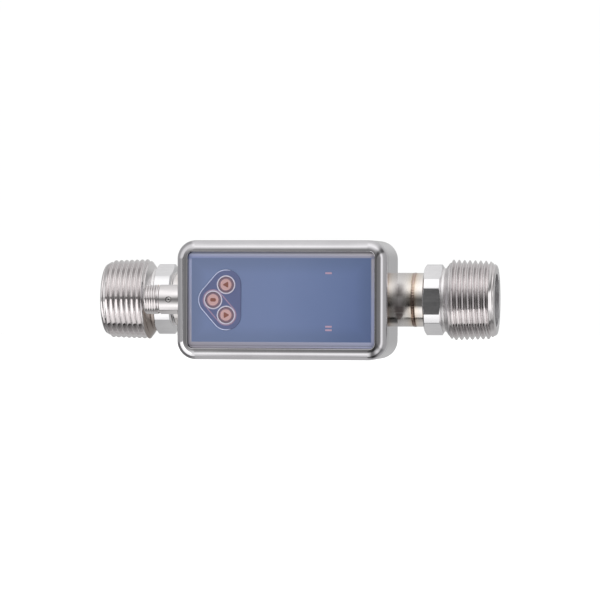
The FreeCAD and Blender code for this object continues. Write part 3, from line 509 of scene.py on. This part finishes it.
LEAD_IN = [(60.7, 12.97), (63.5, 16.75), (90.0, 60.0)]
NOSE = [(0.0, 60.0), (78.3, 16.6), (79.0, 15.75), (79.3, 15.45), (80.15, 14.99), (80.25, 14.9), (81.1, 14.43), (81.3, 14.25), (81.5, 13.9)]


def thread_radius(x, t):
    turns = (x - FIRST_CREST) / PITCH - (t - math.pi / 2.0) / (2.0 * math.pi)
    s = abs(turns - round(turns)) * PITCH
    r = 16.55 - (x - 63.3) / 32.0 - lookup(CREST_SHAPE, s)
    return min(r, lookup(LEAD_IN, x), lookup(NOSE, x))


def fitting_mesh():
    special = sorted((n + d) % (2.0 * math.pi) for n in FLATS for d in (-HALF_FLAT, HALF_FLAT))
    step = 2.0 * math.pi / 144
    cols = list(special)
    for j in range(144):
        t = j * step
        if min(abs(math.atan2(math.sin(t - q), math.cos(t - q))) for q in special) > 0.35 * step:
            cols.append(t)
    cols.sort()
    shift = cols[0]
    cols = [c - shift for c in cols]
    full = cols + [2.0 * math.pi]
    rows = []

    def ring(x, r):
        rows.append([(x, r(t + shift) if callable(r) else r, t + shift) for t in full])

    ring(STUB_X, BORE_R)
    ring(STUB_X, PIPE_R)
    ring(50.4, PIPE_R)
    ring(51.95, PIPE_R)
    ring(HEX_X0, PIPE_R + 0.2)
    reach = HEX_AF / 2.0 - 0.12
    for dx in (0.0, 0.07, 0.16, 0.28, 0.4, 0.52, 0.65, 0.72, 0.85):
        cone = reach + dx / math.tan(math.radians(30))
        ring(HEX_X0 + dx, lambda t, c=cone: min(hex_radius(t), c))
    reach = HEX_AF / 2.0 + 0.05
    for dx in (0.85, 0.65, 0.55, 0.46, 0.37, 0.28, 0.18, 0.08, 0.0):
        cone = reach + dx / math.tan(math.radians(30))
        ring(HEX_X1 - dx, lambda t, c=cone: min(hex_radius(t), c))
    for x, r in ((59.6, 13.42), (59.66, 13.1), (59.78, 12.99), (59.9, 12.97), (60.6, 12.97), (60.7, 12.97)):
        ring(x, r)
    # helical rows
    offsets = sorted(set([s for s, _ in CREST_SHAPE] + [0.22, 0.32, 0.58, 0.86, 0.95]))
    phases = offsets + [PITCH - s for s in reversed(offsets[1:-1])]
    lowest, highest = 60.7, END_X
    k = math.floor((lowest - PITCH - FIRST_CREST) / PITCH) - 1
    x0s = []
    while FIRST_CREST + k * PITCH < highest + PITCH:
        x0s += [FIRST_CREST + k * PITCH + p for p in phases]
        k += 1
    base = (shift - math.pi / 2.0) / (2.0 * math.pi) * PITCH
    for x0 in x0s:
        row = []
        for t in full:
            x = x0 + base + PITCH * t / (2.0 * math.pi)
            x = min(max(x, lowest), highest)
            row.append((x, thread_radius(x, t + shift), t + shift))
        if max(p[0] for p in row) > lowest and min(p[0] for p in row) < highest:
            rows.append(row)
    ring(END_X, 13.9)
    ring(END_X, 12.6)
    ring(END_X, 11.3)
    ring(81.2, 11.0)
    for x in (79.0, 75.0, 69.5):
        ring(x, 11.0)
    ring(67.5, BORE_R)
    ring(58.0, BORE_R)
    rows.append(list(rows[0]))
    bm = bmesh.new()
    verts = [[bm.verts.new(Vector((x, r * math.cos(t), r * math.sin(t))) * MM) for x, r, t in row] for row in rows]
    for a in range(len(rows) - 1):
        for j in range(len(full) - 1):
            bm.faces.new((verts[a][j], verts[a][j + 1], verts[a + 1][j + 1], verts[a + 1][j]))
    bmesh.ops.remove_doubles(bm, verts=bm.verts, dist=0.0000015)
    bmesh.ops.dissolve_degenerate(bm, dist=0.000001, edges=bm.edges)
    for f in bm.faces:
        c = f.calc_center_median() / MM
        r = math.hypot(c.y, c.z)
        if r < 11.2 and c.x > 52 or r < 10.9:
            f.material_index = 3
        elif c.x < 52.1:
            f.material_index = 0
        elif c.x < HEX_X1 + 0.0005:
            f.material_index = 1
        elif c.x < 63.4 and r < lookup(LEAD_IN, c.x) + 0.02 or c.x < 60.8:
            f.material_index = 4
        else:
            f.material_index = 2
    return bm


for side in ("outlet", "inlet"):
    bm = fitting_mesh()
    if side == "inlet":
        turned = Matrix.Rotation(math.radians(120.0), 4, "X") @ Matrix.Rotation(math.pi, 4, "Z")
        bmesh.ops.transform(bm, matrix=turned, verts=bm.verts)
    piece(side + "_fitting_body", bm, [stub_steel, hex_steel, M["stainless_turned"], bore_steel, groove_steel[side]], "meter", "stainless_turned", side + "_fitting", smooth=32.0)

# weld beads with the ripples of the torch
for side, sign in (("outlet", 1.0), ("inlet", -1.0)):
    n = 480
    outline = [(47.1, 11.052, 0.0), (47.25, 11.065, 0.3), (47.42, 11.1, 0.8), (47.64, 11.14, 1.0), (47.9, 11.155, 1.0), (48.16, 11.14, 1.0),
               (48.38, 11.1, 0.8), (48.55, 11.065, 0.3), (48.7, 11.052, 0.0), (48.61, 11.045, 0.0), (48.6, BORE_R, 0.0),
               (47.2, BORE_R, 0.0), (47.19, 11.045, 0.0)]
    rows = []
    for x, r, w in outline:
        row = []
        for j in range(n):
            t = 2.0 * math.pi * j / n
            lag = 1.1 * (x - 47.9) ** 2
            ripple = math.sin(62.0 * t + lag * 3.0) + 0.4 * math.sin(13.0 * t + 0.7) + 0.3 * math.sin(29.0 * t + 2.1)
            rr = r + 0.022 * w * ripple
            row.append(Vector((sign * x, rr * math.cos(t), rr * math.sin(t))) * MM)
        rows.append(row)
    bm = bmesh.new()
    skin(bm, rows, wrap=True)
    piece(side + "_weld_bead", bm, [M["weld_tint"]], "meter", "weld_tint", side + "_weld", smooth=50.0)

# ------------------------------------------------------------------ keys
KEYS = {"back": (-22.0, 6.05), "enter": (-27.25, 0.0), "forward": (-22.0, -6.05)}
FRONT = -50.25


def plate(bm, outline, cx, cz, y0, y1, inset):
    """Thin raised plate with a bevelled front edge from an outline of (x, z) points."""
    mid_x = sum(p[0] for p in outline) / len(outline)
    mid_z = sum(p[1] for p in outline) / len(outline)
    small = [(mid_x + (x - mid_x) * (1 - inset), mid_z + (z - mid_z) * (1 - inset)) for x, z in outline]
    rows = [[Vector((cx + x, y0, cz + z)) * MM for x, z in outline],
            [Vector((cx + x, 0.5 * (y0 + y1), cz + z)) * MM for x, z in outline],
            [Vector((cx + x, y1, cz + z)) * MM for x, z in small]]
    verts, faces = skin(bm, rows)
    faces.append(bm.faces.new(verts[0]))
    faces.append(bm.faces.new(verts[-1]))
    return faces


def rounded(points, r, n=6):
    """Corner-rounded convex outline."""
    out = []
    m = len(points)
    for i in range(m):
        p, a, b = Vector(points[i]), Vector(points[i - 1]), Vector(points[(i + 1) % m])
        u, w = (a - p).normalized(), (b - p).normalized()
        half = u.angle(w) / 2.0
        t = r / math.tan(half)
        centre = p + (u + w).normalized() * (r / math.sin(half))
        s, e = p + u * t - centre, p + w * t - centre
        for k in range(n + 1):
            d = s.lerp(e, k / n)
            out.append(tuple(centre + d.normalized() * r))
    return out


symbols = {
    "back": rounded([(-1.5, 0.0), (0.92, 1.32), (0.92, -1.32)], 0.3),
    "enter": rounded([(-1.15, 0.7), (1.15, 0.7), (1.15, -0.7), (-1.15, -0.7)], 0.55),
    "forward": rounded([(1.5, 0.0), (-0.92, -1.32), (-0.92, 1.32)], 0.3),
}
for key, (cx, cz) in KEYS.items():
    bm = bmesh.new()
    faces = lathe_y(bm, [
        (0.0, FRONT + 0.07), (0.9, FRONT + 0.06), (1.6, FRONT + 0.03), (1.9, FRONT + 0.0), (2.1, FRONT + 0.02), (2.22, FRONT + 0.09),
        (2.28, FRONT + 0.2), (2.31, FRONT + 0.3), (2.38, FRONT + 0.36), (2.75, FRONT + 0.4), (3.02, FRONT + 0.46), (3.09, FRONT + 0.52), (3.09, FRONT + 0.62),
        (3.0, FRONT + 0.7), (2.5, FRONT + 0.74), (2.45, FRONT + 0.8), (2.45, -46.6), (3.04, -46.6), (3.1, -46.54), (3.1, -46.06), (3.04, -46.0),
        (1.4, -46.0), (1.4, -44.35), (1.3, -44.25), (0.0, -44.25)], cx, cz)
    # painted shade: the cap's sloping rim and the front of its side take a darker mauve-brown
    for f in faces:
        c = f.calc_center_median() / MM
        if math.hypot(c.x - cx, c.z - cz) > 2.25 and c.y < -49.0:
            f.material_index = 2
    ink = plate(bm, symbols[key], cx, cz, FRONT + 0.12, FRONT - 0.01, 0.05)
    for f in ink:
        f.material_index = 1
    piece("key_" + key + "_cap", bm, [M["key_orange"], symbol_ink, skirt_painted_shade], key + "_key", "key_orange", "key_" + key)


# ------------------------------------------------------------------ fine lines of the keypad: a painted highlight along the pad's left edge, and a rose loop round two keys
def offset_path(centres, r, turn_from, turn_to, n=14):
    """Arc and tangent path round some centres: each centre with the angles at which its arc starts and ends."""
    out = []
    for (cx, cz), a, b in zip(centres, turn_from, turn_to):
        for k in range(n + 1):
            t = a + (b - a) * k / n
            out.append((cx + r * math.cos(t), cz + r * math.sin(t), t))
    return out


def fine_line(bm, path, width, y0, y1, closed=False):
    """Low rounded bead along a path of (x, z, direction of its outer side)."""
    rows = []
    for i, (x, z, t) in enumerate(path):
        end = 1.0 if closed else min(1.0, 0.25 + 0.25 * i, 0.25 + 0.25 * (len(path) - 1 - i))
        ux, uz = math.cos(t), math.sin(t)
        h = 0.5 * width * end
        row = []
        for d, y in ((-1.0, y0), (-0.85, y1 + 0.35 * (y0 - y1)), (-0.4, y1), (0.4, y1), (0.85, y1 + 0.35 * (y0 - y1)), (1.0, y0)):
            row.append(Vector((x + ux * h * d, y, z + uz * h * d)) * MM)
        rows.append(row)
    verts, faces = skin(bm, rows, wrap=closed)
    if not closed:
        bm.faces.new(verts[0])
        bm.faces.new(verts[-1])


ax, az = KEYS["enter"][0] - KEYS["back"][0], KEYS["enter"][1] - KEYS["back"][1]
upper_normal = math.atan2(-ax, az) if math.cos(math.atan2(-ax, az)) < 0 else math.atan2(ax, -az)
bm = bmesh.new()
# painted highlight: a pale blue bead along the pad's left edge, where its raised edge catches the light
path = offset_path([KEYS["back"], KEYS["enter"], KEYS["forward"]], 5.86,
                   [math.radians(72), upper_normal, 2 * math.pi - upper_normal],
                   [upper_normal, 2 * math.pi - upper_normal, math.radians(360 - 72)])
fine_line(bm, path, 0.38, -49.9, -50.05)
piece("keypad_edge_painted_highlight", bm, [edge_painted_highlight], "meter", "key_rim", smooth=60.0)

ex, ez = KEYS["forward"][0] - KEYS["enter"][0], KEYS["forward"][1] - KEYS["enter"][1]
along = math.atan2(ez, ex)
bm = bmesh.new()
path = offset_path([KEYS["enter"], KEYS["forward"]], 3.97, [along + math.pi / 2, along - math.pi / 2], [along + 1.5 * math.pi, along + math.pi / 2], n=28)
fine_line(bm, path, 0.5, -49.9, -50.02, closed=True)
piece("keypad_loop_line", bm, [line_rose], "meter", "mark_red", smooth=60.0)

# index mark of the plug connector: a bright ring round a dimple, with black plastic as painted shade in the dimple's
# centre and on the ring's outer slope
bm = bmesh.new()
faces = lathe_y(bm, [(0.0, -33.56), (0.3, -33.57), (0.42, -33.62), (0.52, -33.72), (0.6, -33.77), (0.7, -33.78), (0.86, -33.77), (0.95, -33.72),
                     (1.02, -33.6), (1.08, -33.52), (1.17, -33.52), (1.2, -33.5), (1.2, -33.32), (1.18, -33.3), (0.0, -33.3)], -48.75, 0.0, 48)
# painted shade: black plastic in the dimple's centre and on the ring's outer slope
for f in faces:
    c = f.calc_center_median() / MM
    r = math.hypot(c.x + 48.75, c.z)
    if r < 0.36 or r > 1.0:
        f.material_index = 1
piece("connector_index_ring", bm, [M["index_dot"], M["black_plastic"]], "meter", "index_dot", "connector_index_pin", smooth=40.0)
